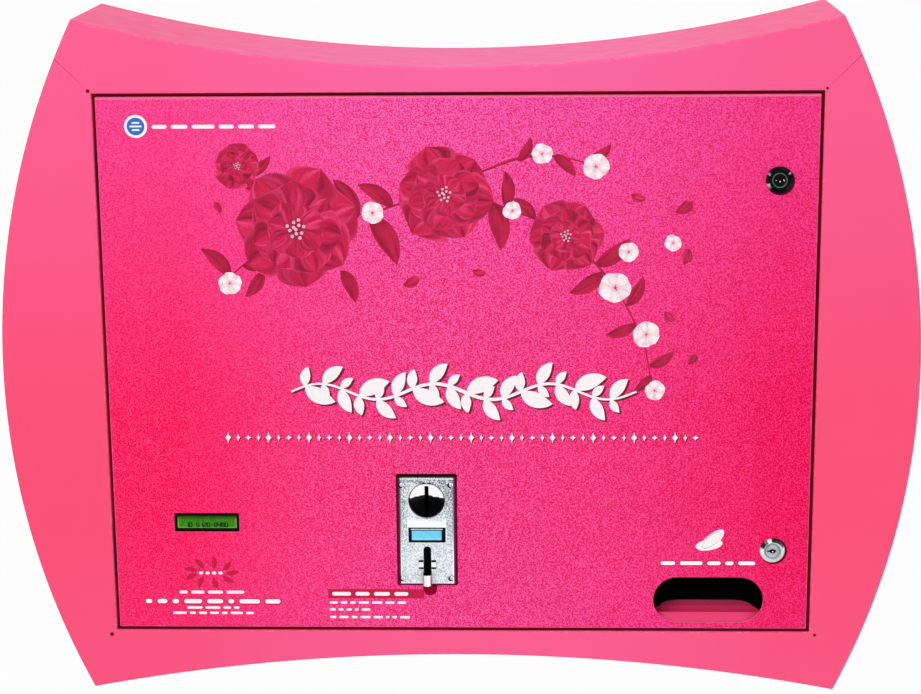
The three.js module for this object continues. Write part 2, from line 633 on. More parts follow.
// Door: a pan with its folds cut away at the hinges
function doorPanel() {
  const pan = slab(rectangle(DOOR_WIDTH, DOOR_HEIGHT), 0, DOOR_FOLD);
  const hollow = slab(rectangle(DOOR_WIDTH - 2 * SHEET, DOOR_HEIGHT - 2 * SHEET), SHEET, DOOR_FOLD + OVERRUN);
  const through = (shape) => slab(shape, -OVERRUN, SHEET + OVERRUN, SMALL_SIDES);
  const lockHole = (x, z, plug) => rod(plug + SEAM + LOCK_WALL + SEAM, [x, -OVERRUN, z], [x, OVERRUN, z]);
  const notches = [-1, 1].map((side) => {
    const half = HINGE_HEIGHT / 2 + HINGE_NOTCH;
    const middle = side * HINGE_SPREAD;
    return block(
      [-DOOR_HALF_WIDTH - OVERRUN, SHEET, middle - half],
      [-DOOR_HALF_WIDTH + SHEET + SEAM, DOOR_FOLD + OVERRUN, middle + half],
    );
  });
  const coinHole = rectangle(ACCEPTOR_WIDTH + 2 * SEAM, ACCEPTOR_HEIGHT + 2 * SEAM, COIN_X, COIN_Z);
  const shell = joined([pan.subtract(hollow), ...lcdStuds()]);
  return without(shell, [
    ...notches,
    through(coinHole),
    through(rectangle(LCD_WIDTH, LCD_HEIGHT, LCD_X, LCD_Z)),
    through(roundedRectangle(OPENING_WIDTH, OPENING_HEIGHT, OPENING_HEIGHT / 2 - SEAM, OPENING_X, OPENING_Z)),
    lockHole(UPPER_LOCK_X, UPPER_LOCK_Z, UPPER_LOCK_PLUG),
    lockHole(LOWER_LOCK_X, LOWER_LOCK_Z, LOWER_LOCK_PLUG),
  ]);
}

function stiffener() {
  const foot = SEAM;
  const crown = SEAM + STIFFENER_DEPTH;
  const half = STIFFENER_WIDTH / 2;
  const profile = folded([
    [-half - STIFFENER_FOOT, foot], [-half, foot], [-half, crown - THIN_SHEET],
    [half, crown - THIN_SHEET], [half, foot], [half + STIFFENER_FOOT, foot],
  ], THIN_SHEET);
  return post(profile, STIFFENER_BOTTOM_Z, DOOR_HALF_HEIGHT - STIFFENER_TOP_DROP);
}

// Hinges, drawn round the pin axis with the door's face in front
function hingeLeaf(profile, parity) {
  const half = HINGE_HEIGHT / 2;
  const cutters = [rod(PIN_RADIUS + SEAM, [0, 0, -half - OVERRUN], [0, 0, half + OVERRUN], SMALL_SIDES)];
  for (let i = 0; i < KNUCKLE_COUNT; i += 1) {
    const bottom = -half + i * KNUCKLE_PITCH;
    if (i % 2 === parity) continue;
    const low = i === 0 ? bottom - OVERRUN : bottom - SEAM / 2;
    const high = i === KNUCKLE_COUNT - 1 ? half + OVERRUN : bottom + KNUCKLE_PITCH + SEAM / 2;
    cutters.push(rod(KNUCKLE_RADIUS + SEAM, [0, 0, low], [0, 0, high], SMALL_SIDES));
  }
  const barrel = rod(KNUCKLE_RADIUS, [0, 0, -half], [0, 0, half], SMALL_SIDES);
  return without(post(profile, -half, half).add(barrel), cutters);
}

function frameLeaf() {
  const wall = -WRAP_INSIDE_X + SEAM - HINGE_X;
  return hingeLeaf(folded([
    [wall, FRAME_LEAF_REACH + FRAME_LEAF_FOOT], [wall, FRAME_LEAF_REACH],
    [-FRAME_LEAF_OFFSET, FRAME_LEAF_REACH], [-FRAME_LEAF_OFFSET, 0],
  ], LEAF_SHEET), 0);
}

function doorLeaf() {
  const seat = SHEET + SEAM - HINGE_INSET;
  return hingeLeaf(polygon([
    [0, seat], [DOOR_LEAF_WIDTH, seat], [DOOR_LEAF_WIDTH, seat + LEAF_SHEET], [0, seat + LEAF_SHEET],
  ]), 1);
}

function hingePin() {
  const half = HINGE_HEIGHT / 2;
  const top = half + SEAM;
  const shaft = rod(PIN_RADIUS, [0, 0, -half], [0, 0, top], SMALL_SIDES);
  return shaft.add(rod(KNUCKLE_RADIUS - SEAM, [0, 0, top], [0, 0, top + PIN_HEAD], SMALL_SIDES));
}

// Cam locks, drawn round the plug's axis with the door's face at zero
function lockBody(head, plug) {
  const bore = plug + SEAM;
  const barrel = bore + LOCK_WALL;
  return turned([
    [bore, -LOCK_PROUD], [head - LOCK_CHAMFER, -LOCK_PROUD], [head, -LOCK_PROUD + LOCK_CHAMFER],
    [head, -SEAM], [barrel, -SEAM], [barrel, LOCK_LENGTH], [bore, LOCK_LENGTH], [bore, -LOCK_PROUD],
  ]);
}

function lockPlug(plug) {
  const face = -LOCK_PROUD + PLUG_SINK;
  const keyway = block(
    [-KEYWAY_LENGTH / 2, face - OVERRUN, -KEYWAY_WIDTH / 2],
    [KEYWAY_LENGTH / 2, face + KEYWAY_DEPTH, KEYWAY_WIDTH / 2],
  );
  return rod(plug, [0, face, 0], [0, LOCK_LENGTH, 0]).subtract(keyway);
}

function lockCam() {
  const front = LOCK_LENGTH + SEAM;
  const length = CAM_LENGTH + CAM_WIDTH / 2;
  const strip = roundedRectangle(CAM_WIDTH, length, CAM_WIDTH / 2 - SEAM, 0, length / 2 - CAM_WIDTH / 2);
  const rear = front + CAM_SHEET + CAM_SCREW_HEIGHT;
  const screw = rod(CAM_SCREW_RADIUS, [0, front, 0], [0, rear, 0], SCREW_SIDES);
  return slab(strip, front, front + CAM_SHEET).add(screw);
}

function lockNut(plug) {
  const hole = plug + SEAM + LOCK_WALL + SEAM;
  const front = SHEET + SEAM;
  const rim = hole + LOCK_NUT_WIDTH;
  const hexagon = rod(rim, [0, front, 0], [0, front + LOCK_NUT_HEIGHT, 0], HEXAGON_SIDES);
  return hexagon.subtract(rod(hole, [0, front - OVERRUN, 0], [0, front + OVERRUN, 0]));
}

function lock(side, x, z, head, plug, headFinish, plugFinish) {
  return groupAt(x, FRONT, z, [
    piece(`${side}_lock_body`, lockBody(head, plug), headFinish),
    piece(`${side}_lock_plug`, lockPlug(plug), plugFinish),
    piece(`${side}_lock_cam`, lockCam(), bareSteel()),
    piece(`${side}_lock_nut`, lockNut(plug), bareSteel()),
  ]);
}

function lockKeeper() {
  const wall = WRAP_INSIDE_X - SEAM;
  const face = CAM_FRONT - 2 * SEAM - SHEET;
  const profile = folded([[wall - KEEPER_REACH, face], [wall, face], [wall, face + KEEPER_FOOT]], SHEET);
  return post(profile, -KEEPER_HEIGHT / 2, KEEPER_HEIGHT / 2);
}

// Coin unit, drawn round the face plate's middle with the door's face at zero
const ENTRY_POCKET_REAR = -PLATE_PROUD - ENTRY_PROUD + ENTRY_THICK + ENTRY_TRAVEL + SEAM;
const RETURN_HEIGHT = RETURN_BOTTOM_DROP - RETURN_TOP_DROP;
const RETURN_MIDDLE = -(RETURN_BOTTOM_DROP + RETURN_TOP_DROP) / 2;

function returnSlot(front, rear) {
  const radius = RETURN_WIDTH / 2 - SEAM;
  return slab(roundedRectangle(RETURN_WIDTH, RETURN_HEIGHT, radius, 0, RETURN_MIDDLE), front, rear);
}

function coinPlate() {
  const flatWidth = PLATE_WIDTH - 2 * PLATE_BEVEL;
  const flatHeight = PLATE_HEIGHT - 2 * PLATE_BEVEL;
  const straight = roundedRectangle(flatWidth, flatHeight, PLATE_CORNER);
  const bevelled = new THREE.ExtrudeGeometry(straight, {
    depth: PLATE_PROUD,
    bevelThickness: PLATE_BEVEL,
    bevelSize: PLATE_BEVEL,
    bevelSegments: 1,
    curveSegments: CORNER_STEPS,
  });
  bevelled.rotateX(Math.PI / 2);
  bevelled.translate(0, PLATE_BEVEL, 0);
  const ridgeLow = -PLATE_PROUD - RIDGE_PROUD;
  const ridge = block(
    [-RIDGE_WIDTH / 2, ridgeLow, -RIDGE_DROP - RIDGE_HEIGHT / 2],
    [RIDGE_WIDTH / 2, -PLATE_PROUD / 2, -RIDGE_DROP + RIDGE_HEIGHT / 2],
  );
  const bossTop = -RIDGE_DROP - RIDGE_HEIGHT / 2;
  const boss = block(
    [-BOSS_WIDTH / 2, -PLATE_PROUD - BOSS_PROUD, bossTop - BOSS_HEIGHT],
    [BOSS_WIDTH / 2, -PLATE_PROUD / 2, bossTop],
  );
  const cupSeat = block(
    [-CUP_RADIUS - SEAM, -PLATE_PROUD - OVERRUN, -CUP_BOTTOM_DROP - SEAM],
    [CUP_RADIUS + SEAM, -PLATE_PROUD, bossTop - SEAM],
  );
  const hoodTop = -DISPLAY_DROP + DISPLAY_HEIGHT / 2 + DISPLAY_HOOD;
  const hood = rail(polygon([
    [-PLATE_PROUD / 2, hoodTop], [-PLATE_PROUD, hoodTop],
    [-PLATE_PROUD - DISPLAY_HOOD_PROUD, hoodTop - DISPLAY_HOOD], [-PLATE_PROUD / 2, hoodTop - DISPLAY_HOOD],
  ]), -DISPLAY_WIDTH / 2, DISPLAY_WIDTH / 2);
  const rear = block([-PLATE_WIDTH, -SEAM, -PLATE_HEIGHT], [PLATE_WIDTH, OVERRUN, PLATE_HEIGHT]);
  const raised = joined([toSolid(bevelled), ridge, boss, hood, ...plateScrews()]);
  const front = -PLATE_PROUD - OVERRUN;
  return without(raised, [
    rear,
    cupSeat,
    rod(ENTRY_RADIUS + SEAM, [0, front, ENTRY_RISE], [0, OVERRUN, ENTRY_RISE], FINE_SIDES),
    slab(rectangle(DISPLAY_WIDTH, DISPLAY_HEIGHT, 0, -DISPLAY_DROP), front, OVERRUN),
    returnSlot(front, OVERRUN),
  ]);
}

function acceptorBody() {
  const half = ACCEPTOR_HEIGHT / 2;
  const rear = SHEET + ACCEPTOR_DEPTH;
  const profile = polygon([
    [0, -half], [rear - ACCEPTOR_TAPER, -half], [rear, -half + ACCEPTOR_TAPER],
    [rear, half - ACCEPTOR_TAPER], [rear - ACCEPTOR_TAPER, half], [0, half],
  ]);
  const body = rail(profile, -ACCEPTOR_WIDTH / 2, ACCEPTOR_WIDTH / 2);
  const channelRear = RETURN_DEPTH + COIN_SLOT_HEIGHT / 2;
  const channelFront = RETURN_DEPTH + SEAM;
  const halfSlot = COIN_SLOT_WIDTH / 2;
  const entryTop = ENTRY_RISE + COIN_SLOT_HEIGHT / 2;
  return without(body, [
    rod(ENTRY_RADIUS + SEAM, [0, -OVERRUN, ENTRY_RISE], [0, ENTRY_POCKET_REAR, ENTRY_RISE], FINE_SIDES),
    block([-halfSlot, 0, ENTRY_RISE - COIN_SLOT_HEIGHT / 2], [halfSlot, channelRear, entryTop]),
    block([-halfSlot, channelFront, -half - OVERRUN], [halfSlot, channelRear, entryTop]),
    slab(rectangle(DISPLAY_WIDTH, DISPLAY_HEIGHT, 0, -DISPLAY_DROP), -OVERRUN, DISPLAY_THICK + SEAM),
    returnSlot(-OVERRUN, RETURN_DEPTH - PLATE_PROUD),
  ]);
}

function entryDisc() {
  const front = -PLATE_PROUD - ENTRY_PROUD;
  const rim = ENTRY_RADIUS - ENTRY_PROUD;
  const dish = Array.from({ length: DISH_STEPS + 1 }, (_, i) => {
    const share = i / DISH_STEPS;
    return [rim * share, front + ENTRY_DISH * (1 - share ** 2)];
  });
  const rear = front + ENTRY_THICK;
  const outside = [[ENTRY_RADIUS, front + ENTRY_PROUD], [ENTRY_RADIUS, rear], [0, rear]];
  const disc = turned([...dish, ...outside], FINE_SIDES);
  const slot = block(
    [-COIN_SLOT_WIDTH / 2, front - OVERRUN, -COIN_SLOT_HEIGHT / 2],
    [COIN_SLOT_WIDTH / 2, rear + OVERRUN, COIN_SLOT_HEIGHT / 2],
  );
  return disc.subtract(slot);
}

function displayFrame() {
  const width = DISPLAY_WIDTH - 2 * SEAM;
  const height = DISPLAY_HEIGHT - 2 * SEAM;
  const front = -PLATE_PROUD - SEAM;
  const frame = slab(rectangle(width, height, 0, -DISPLAY_DROP), front, DISPLAY_THICK);
  const window = rectangle(width - 2 * DISPLAY_FRAME, height - 2 * DISPLAY_FRAME, 0, -DISPLAY_DROP);
  return frame.subtract(slab(window, front - OVERRUN, 0));
}

function displayLens() {
  const margin = DISPLAY_FRAME + 2 * SEAM;
  const window = rectangle(DISPLAY_WIDTH - 2 * margin, DISPLAY_HEIGHT - 2 * margin, 0, -DISPLAY_DROP);
  return slab(window, -PLATE_PROUD / 2, -SEAM);
}

function gutter(radius, rear, front) {
  const shape = new THREE.Shape();
  shape.moveTo(-radius, rear);
  shape.lineTo(-radius, front + radius);
  shape.absarc(0, front + radius, radius, TURN / 2, TURN);
  shape.lineTo(radius, rear);
  shape.closePath();
  return shape;
}

function returnCup() {
  const rear = -PLATE_PROUD - SEAM;
  const front = -PLATE_PROUD - CUP_PROUD;
  const bottom = -CUP_BOTTOM_DROP;
  const outside = post(gutter(CUP_RADIUS, rear, front), bottom, bottom + CUP_HEIGHT);
  const hollow = gutter(CUP_RADIUS - CUP_WALL, rear + OVERRUN, front + CUP_WALL);
  return outside.subtract(post(hollow, bottom + CUP_WALL, bottom + CUP_HEIGHT + OVERRUN));
}

function plateScrews() {
  const x = PLATE_WIDTH / 2 - PLATE_SCREW_INSET_X;
  const z = PLATE_HEIGHT / 2 - PLATE_SCREW_INSET_Z;
  return [-1, 1].flatMap((side) => [-1, 1].map((end) => rod(
    PLATE_SCREW_RADIUS,
    [side * x, -PLATE_PROUD - PLATE_SCREW_HEIGHT, end * z],
    [side * x, -PLATE_PROUD / 2, end * z],
    SCREW_SIDES,
  )));
}

// Character display, drawn round its window's middle with the door's face at zero
function lcdModule() {
  const width = LCD_WIDTH - 2 * SEAM;
  const height = LCD_HEIGHT - 2 * SEAM;
  const rear = LCD_SINK + LCD_DEPTH;
  const frame = slab(rectangle(width, height), LCD_SINK, rear);
  const board = slab(rectangle(LCD_BOARD_WIDTH, LCD_BOARD_HEIGHT), rear, rear + BOARD_THICK);
  const window = slab(rectangle(LCD_VIEW_WIDTH, LCD_VIEW_HEIGHT), LCD_SINK - OVERRUN, rear);
  const holes = lcdStudPlaces().map(([x, z]) => (
    rod(LCD_STUD_RADIUS + SEAM, [x, rear - OVERRUN, z], [x, rear + OVERRUN, z], SCREW_SIDES)
  ));
  return without(frame.add(board), [window, ...holes]);
}

function lcdGlass() {
  const view = rectangle(LCD_VIEW_WIDTH - 2 * SEAM, LCD_VIEW_HEIGHT - 2 * SEAM);
  return slab(view, LCD_SINK + LCD_VIEW_SINK, LCD_SINK + LCD_DEPTH - SEAM);
}

function lcdStudPlaces() {
  const x = LCD_BOARD_WIDTH / 2 - LCD_STUD_INSET;
  const z = LCD_BOARD_HEIGHT / 2 - LCD_STUD_INSET;
  return [-1, 1].flatMap((side) => [-1, 1].map((end) => [side * x, end * z]));
}

// Studs that are welded to the door's skin and carry the display
function lcdStuds() {
  const board = LCD_SINK + LCD_DEPTH;
  const tail = board + BOARD_THICK + LCD_STUD_TAIL;
  return lcdStudPlaces().flatMap(([dx, dz]) => {
    const [x, z] = [LCD_X + dx, LCD_Z + dz];
    return [
      rod(2 * LCD_STUD_RADIUS, [x, SHEET / 2, z], [x, board - SEAM, z], SCREW_SIDES),
      rod(LCD_STUD_RADIUS, [x, SHEET / 2, z], [x, tail, z], SCREW_SIDES),
    ];
  });
}

// Vend coil: straight out of the hub for one wire, then a helix along X
const COIL_LEAD = 2 * WIRE_RADIUS;
const COIL_PITCH = (COIL_RIGHT - COIL_LEFT - 2 * COIL_LEAD) / COIL_TURNS;

function coilPath() {
  const straight = [0, COIL_LEAD].map((x) => ({ x, angle: 0 }));
  const wound = Array.from({ length: COIL_TURNS * COIL_STEPS + 1 }, (_, i) => ({
    x: 2 * COIL_LEAD + (COIL_PITCH * i) / COIL_STEPS,
    angle: (TURN * i) / COIL_STEPS,
  }));
  return [...straight, ...wound].map(({ x, angle }) => {
    const outward = new THREE.Vector3(0, Math.sin(angle), Math.cos(angle));
    const place = outward.clone().multiplyScalar(COIL_RADIUS).setX(x);
    return { place, outward };
  });
}

function leastGapToItself(path) {
  let least = Infinity;
  path.forEach((a, i) => path.slice(i + COIL_STEPS / 2).forEach((b) => {
    least = Math.min(least, a.place.distanceTo(b.place) - 2 * WIRE_RADIUS);
  }));
  return least;
}

function vendCoil(path) {
  const corners = [];
  path.forEach(({ place, outward }, i) => {
    const before = path[Math.max(i - 1, 0)].place;
    const after = path[Math.min(i + 1, path.length - 1)].place;
    const along = after.clone().sub(before).normalize();
    const side = along.clone().cross(outward).normalize();
    const out = side.clone().cross(along);
    for (let k = 0; k < COIL_SIDES; k += 1) {
      const angle = (TURN * k) / COIL_SIDES;
      const corner = place.clone().addScaledVector(out, WIRE_RADIUS * Math.cos(angle));
      corners.push(...corner.addScaledVector(side, WIRE_RADIUS * Math.sin(angle)).toArray());
    }
  });
  const index = [];
  for (let i = 0; i < path.length - 1; i += 1) {
    for (let k = 0; k < COIL_SIDES; k += 1) {
      const [a, b] = [i * COIL_SIDES + k, i * COIL_SIDES + ((k + 1) % COIL_SIDES)];
      index.push(a, b, b + COIL_SIDES, a, b + COIL_SIDES, a + COIL_SIDES);
    }
  }
  const last = (path.length - 1) * COIL_SIDES;
  for (let k = 1; k < COIL_SIDES - 1; k += 1) {
    index.push(0, k + 1, k, last, last + k, last + k + 1);
  }
  const geometry = new THREE.BufferGeometry();
  geometry.setAttribute('position', new THREE.Float32BufferAttribute(corners, 3));
  geometry.setIndex(index);
  return toSolid(geometry);
}

// Hub, drawn from its left end along the coil's axis
function coilHub() {
  const hub = rod(HUB_BOSS_RADIUS, [0, 0, 0], [HUB_LENGTH, 0, 0], SMALL_SIDES).add(
    rod(HUB_RADIUS, [HUB_BOSS, 0, 0], [HUB_LENGTH, 0, 0], FINE_SIDES),
  );
  const windows = Array.from({ length: HUB_WINDOWS }, (_, i) => {
    const angle = (TURN * (i + 1 / 2)) / HUB_WINDOWS;
    const [y, z] = [HUB_WINDOW_CIRCLE * Math.sin(angle), HUB_WINDOW_CIRCLE * Math.cos(angle)];
    return rod(HUB_WINDOW_RADIUS, [0, y, z], [HUB_LENGTH + OVERRUN, y, z], SCREW_SIDES);
  });
  const bore = rod(SHAFT_RADIUS + SEAM, [-OVERRUN, 0, 0], [SHAFT_ENTRY + SEAM, 0, 0], SMALL_SIDES);
  return without(hub, [bore, ...windows]);
}

// Gear motor, drawn from the bulkhead's left face along the output shaft
function gearMotor() {
  const face = -SEAM;
  const rear = face - GEARBOX_DEPTH;
  const middle = GEARBOX_RISE - GEARBOX_HEIGHT / 2;
  const box = roundedRectangle(GEARBOX_WIDTH, GEARBOX_HEIGHT, GEARBOX_CORNER, 0, middle);
  const shaftEnd = SHEET + HUB_GAP + SHAFT_ENTRY;
  const canEnd = rear - MOTOR_LENGTH;
  return joined([
    rail(box, rear, face),
    rod(MOTOR_BOSS_RADIUS, [rear / 2, 0, 0], [SHEET, 0, 0], SMALL_SIDES),
    rod(SHAFT_RADIUS, [rear / 2, 0, 0], [shaftEnd, 0, 0], SMALL_SIDES),
    rod(MOTOR_RADIUS, [canEnd, 0, -MOTOR_OFFSET], [rear / 2, 0, -MOTOR_OFFSET]),
    rod(MOTOR_TAIL_RADIUS, [canEnd - MOTOR_TAIL, 0, -MOTOR_OFFSET], [rear, 0, -MOTOR_OFFSET], SMALL_SIDES),
  ]);
}

function coilHeights() {
  return Array.from({ length: SHELF_COUNT }, (_, i) => SHELF_BASE_Z + i * SHELF_PITCH + COIL_LIFT);
}

function motorBulkhead() {
  const front = PANEL_FACE - BULKHEAD_DEPTH;
  const foldLeft = BULKHEAD_RIGHT - BULKHEAD_FOLD;
  const profile = folded([
    [foldLeft, front], [BULKHEAD_RIGHT, front], [BULKHEAD_RIGHT, PANEL_FACE], [foldLeft, PANEL_FACE],
  ], SHEET);
  const heights = coilHeights();
  const top = heights[SHELF_COUNT - 1] + COIL_RADIUS + WIRE_RADIUS + BULKHEAD_SPARE;
  const plate = post(profile, SHELF_BASE_Z - BULKHEAD_SPARE, top);
  return without(plate, heights.map((z) => rod(
    MOTOR_BOSS_RADIUS + SEAM,
    [BULKHEAD_X - OVERRUN, COIL_Y, z],
    [BULKHEAD_RIGHT + OVERRUN, COIL_Y, z],
    SMALL_SIDES,
  )));
}

// Shelf, drawn in length and height from its left lower rear corner
function shelf() {
  const profile = folded([
    [-SHELF_DEPTH, SHELF_FRONT_RISE], [-SHELF_DEPTH, 0], [0, 0], [0, SHELF_REAR_RISE],
  ], THIN_SHEET);
  return rail(profile, 0, SHELF_RIGHT_X - BULKHEAD_RIGHT - SEAM);
}

// Drop chute: walls round the fall, and a ramp that brings the product forward
function dropChute() {
  const right = TRAY_INSIDE_RIGHT + THIN_SHEET;
  const left = TRAY_INSIDE_LEFT - THIN_SHEET;
  const plan = folded([
    [left, CHUTE_FRONT], [right, CHUTE_FRONT], [right, PANEL_FACE], [right - CHUTE_FOOT, PANEL_FACE],
  ], THIN_SHEET);
  const tower = post(plan, TRAY_TOP_Z, CHUTE_TOP_Z);
  const front = FRONT + TRAY_FLOOR_DEPTH + SEAM;
  const low = TRAY_FLOOR_Z + TRAY_UPSTAND;
  const rearLow = TRAY_FLOOR_Z + RAMP_REAR_RISE;
  const slope = folded([[front + THIN_SHEET, low - THIN_SHEET], [PANEL_FACE, rearLow]], THIN_SHEET);
  const ramp = rail(slope, left, right);
  const side = (x) => block([x, front, low], [x + THIN_SHEET, PANEL_FACE, TRAY_TOP_Z]);
  const leftWall = block([left, CHUTE_FRONT, TRAY_TOP_Z], [left + THIN_SHEET, PANEL_FACE, SHELF_BASE_Z]);
  const behind = block([left - OVERRUN, PANEL_FACE, low - OVERRUN], [right + OVERRUN, 0, CHUTE_TOP_Z]);
  return joined([tower, ramp, side(left), side(right - THIN_SHEET), leftWall]).subtract(behind);
}

function collectionTray() {
  const front = SKIN_REAR + TRAY_FRONT_GAP;
  const rear = FRONT + TRAY_FLOOR_DEPTH;
  const under = TRAY_FLOOR_Z - THIN_SHEET;
  const left = TRAY_INSIDE_LEFT - THIN_SHEET;
  const right = TRAY_INSIDE_RIGHT + THIN_SHEET;
  const floor = rail(folded([
    [front, under], [rear, under], [rear, TRAY_FLOOR_Z + TRAY_UPSTAND - SEAM],
  ], THIN_SHEET), left, right);
  const footFront = FRONT + SURROUND_FOLD + 2 * SEAM;
  const footLow = -WRAP_INSIDE_Z + SEAM;
  const walls = [left, right - THIN_SHEET].flatMap((x) => [
    block([x, front, under], [x + THIN_SHEET, rear, TRAY_TOP_Z]),
    block([x, footFront, footLow], [x + THIN_SHEET, rear, TRAY_TOP_Z]),
  ]);
  return joined([floor, ...walls]);
}

// Cash box and cage, drawn from the middle of the box's front lower edge
function cashBox() {
  const half = CASH_WIDTH / 2;
  const box = block([-half, 0, 0], [half, CASH_DEPTH, CASH_HEIGHT]);
  const hollow = block(
    [-half + THIN_SHEET, THIN_SHEET, THIN_SHEET],
    [half - THIN_SHEET, CASH_DEPTH - THIN_SHEET, CASH_HEIGHT - THIN_SHEET],
  );
  const middle = CASH_DEPTH / 2;
  const mouth = block(
    [-CASH_MOUTH_WIDTH / 2, middle - CASH_MOUTH_DEPTH / 2, CASH_HEIGHT - OVERRUN],
    [CASH_MOUTH_WIDTH / 2, middle + CASH_MOUTH_DEPTH / 2, CASH_HEIGHT + OVERRUN],
  );
  const grip = block(
    [-half - CASH_GRIP_PROUD, middle - CASH_GRIP_WIDTH / 2, CASH_HEIGHT / 2],
    [-half, middle + CASH_GRIP_WIDTH / 2, CASH_HEIGHT / 2 + THIN_SHEET],
  );
  return box.add(grip).subtract(hollow).subtract(mouth);
}

function cashCage() {
  const front = -CASH_GAP - THIN_SHEET;
  const rear = CASH_DEPTH + CASH_GAP + THIN_SHEET;
  const bottom = -SEAM - THIN_SHEET;
  const right = CASH_WIDTH / 2 + CASH_GAP;
  const top = CASH_HEIGHT + CASH_GAP;
  const channel = rail(folded([[front, top], [front, bottom], [rear, bottom], [rear, top]], THIN_SHEET),
    -CASH_WIDTH / 2, right + THIN_SHEET / 2);
  return channel.add(block([right, front, bottom], [right + THIN_SHEET, rear, top]));
}

// Electrics
function powerSupply() {
  const step = -SUPPLY_DEPTH + SUPPLY_TERMINAL_WIDTH;
  const shoulder = SUPPLY_HEIGHT - SUPPLY_TERMINAL_DROP;
  const profile = polygon([
    [-SUPPLY_DEPTH, 0], [0, 0], [0, SUPPLY_HEIGHT], [step, SUPPLY_HEIGHT], [step, shoulder],
    [-SUPPLY_DEPTH, shoulder],
  ]);
  const half = SUPPLY_WIDTH / 2;
  const pitch = SUPPLY_WIDTH / (SUPPLY_SLOTS + 1);
  const slotHalf = (SUPPLY_DEPTH * SUPPLY_SLOT_LENGTH_SHARE) / 2;
  const middle = step / 2;
  const slots = Array.from({ length: SUPPLY_SLOTS }, (_, i) => {
    const x = -half + (i + 1) * pitch;
    return block(
      [x - SUPPLY_SLOT_WIDTH / 2, middle - slotHalf, SUPPLY_HEIGHT - THIN_SHEET],
      [x + SUPPLY_SLOT_WIDTH / 2, middle + slotHalf, SUPPLY_HEIGHT + OVERRUN],
    );
  });
  return without(rail(profile, -half, half), slots);
}

const CONTROLLER_REAR = PANEL_FACE - CONTROLLER_STAND_OFF;

function controllerBoard() {
  const board = slab(rectangle(CONTROLLER_WIDTH, CONTROLLER_HEIGHT), -BOARD_THICK, 0);
  const chip = slab(rectangle(
    CONTROLLER_WIDTH * CHIP_WIDTH_SHARE,
    CONTROLLER_HEIGHT * CHIP_HEIGHT_SHARE,
  ), -BOARD_THICK - CHIP_THICK, -BOARD_THICK / 2);
  const relayZ = CONTROLLER_HEIGHT / 2 - RELAY_WIDTH;
  const pitch = CONTROLLER_WIDTH / (RELAY_COUNT + 1);
  const relays = Array.from({ length: RELAY_COUNT }, (_, i) => slab(
    rectangle(RELAY_WIDTH, RELAY_WIDTH, -CONTROLLER_WIDTH / 2 + (i + 1) * pitch, relayZ),
    -BOARD_THICK - RELAY_HEIGHT,
    -BOARD_THICK / 2,
  ));
  return joined([board, chip, ...relays]);
}

// Posts that are pressed into the back panel
function controllerPosts() {
  const x = CONTROLLER_WIDTH / 2 - CONTROLLER_POST_INSET;
  const z = CONTROLLER_HEIGHT / 2 - CONTROLLER_POST_INSET;
  return [-1, 1].flatMap((side) => [-1, 1].map((end) => rod(
    CONTROLLER_POST_RADIUS,
    [CONTROLLER_X + side * x, CONTROLLER_REAR + SEAM, CONTROLLER_Z + end * z],
    [CONTROLLER_X + side * x, PANEL_FRONT / 2, CONTROLLER_Z + end * z],
    SCREW_SIDES,
  )));
}

function switchBracket() {
  const half = SWITCH_PLATE_WIDTH / 2;
  const outer = half + SWITCH_PLATE_FOOT;
  const profile = folded([
    [outer, 0], [half, 0], [half, -SWITCH_PLATE_RISE],
    [-half, -SWITCH_PLATE_RISE], [-half, 0], [-outer, 0],
  ], THIN_SHEET);
  const bracket = post(profile, -SWITCH_PLATE_HEIGHT / 2, SWITCH_PLATE_HEIGHT / 2);
  const hole = rectangle(SWITCH_WIDTH + 2 * SEAM, SWITCH_HEIGHT + 2 * SEAM);
  const face = -SWITCH_PLATE_RISE - THIN_SHEET;
  return bracket.subtract(slab(hole, face - OVERRUN, face + OVERRUN));
}

const ROCKER_PIVOT = -SEAM - SWITCH_FLANGE;
const ROCKER_ROOM = ROCKER_RADIUS + SEAM;

function switchHousing() {
  const flangeWidth = SWITCH_WIDTH + 2 * SWITCH_FLANGE;
  const flangeHeight = SWITCH_HEIGHT + 2 * SWITCH_FLANGE;
  const flange = slab(rectangle(flangeWidth, flangeHeight), ROCKER_PIVOT, -SEAM);
  const body = slab(rectangle(SWITCH_WIDTH, SWITCH_HEIGHT), ROCKER_PIVOT, SWITCH_DEPTH);
  const pocket = rectangle(SWITCH_WIDTH - 2 * SWITCH_WALL, 2 * ROCKER_ROOM);
  return flange.add(body).subtract(slab(pocket, ROCKER_PIVOT - OVERRUN, ROCKER_PIVOT + ROCKER_ROOM));
}

// The rocker's rear is round about its pivot; its face is a shallow V
function switchRocker() {
  const tilt = THREE.MathUtils.degToRad(ROCKER_ANGLE / 2);
  const shape = new THREE.Shape();
  shape.moveTo(0, 0);
  shape.absarc(0, 0, ROCKER_RADIUS, -TURN / 4 - tilt, TURN / 4 + tilt);
  shape.closePath();
  const half = SWITCH_WIDTH / 2 - SWITCH_WALL - SEAM;
  return rail(shape, -half, half, SMALL_SIDES);
}

function wallGrommet() {
  const neck = GROMMET_RADIUS - GROMMET_FLANGE - SEAM;
  const step = PANEL_FRONT - SEAM;
  return turned([
    [GROMMET_BORE, step - GROMMET_PROUD], [GROMMET_RADIUS, step - GROMMET_PROUD], [GROMMET_RADIUS, step],
    [neck, step], [neck, 0], [GROMMET_BORE, 0], [GROMMET_BORE, step - GROMMET_PROUD],
  ]);
}

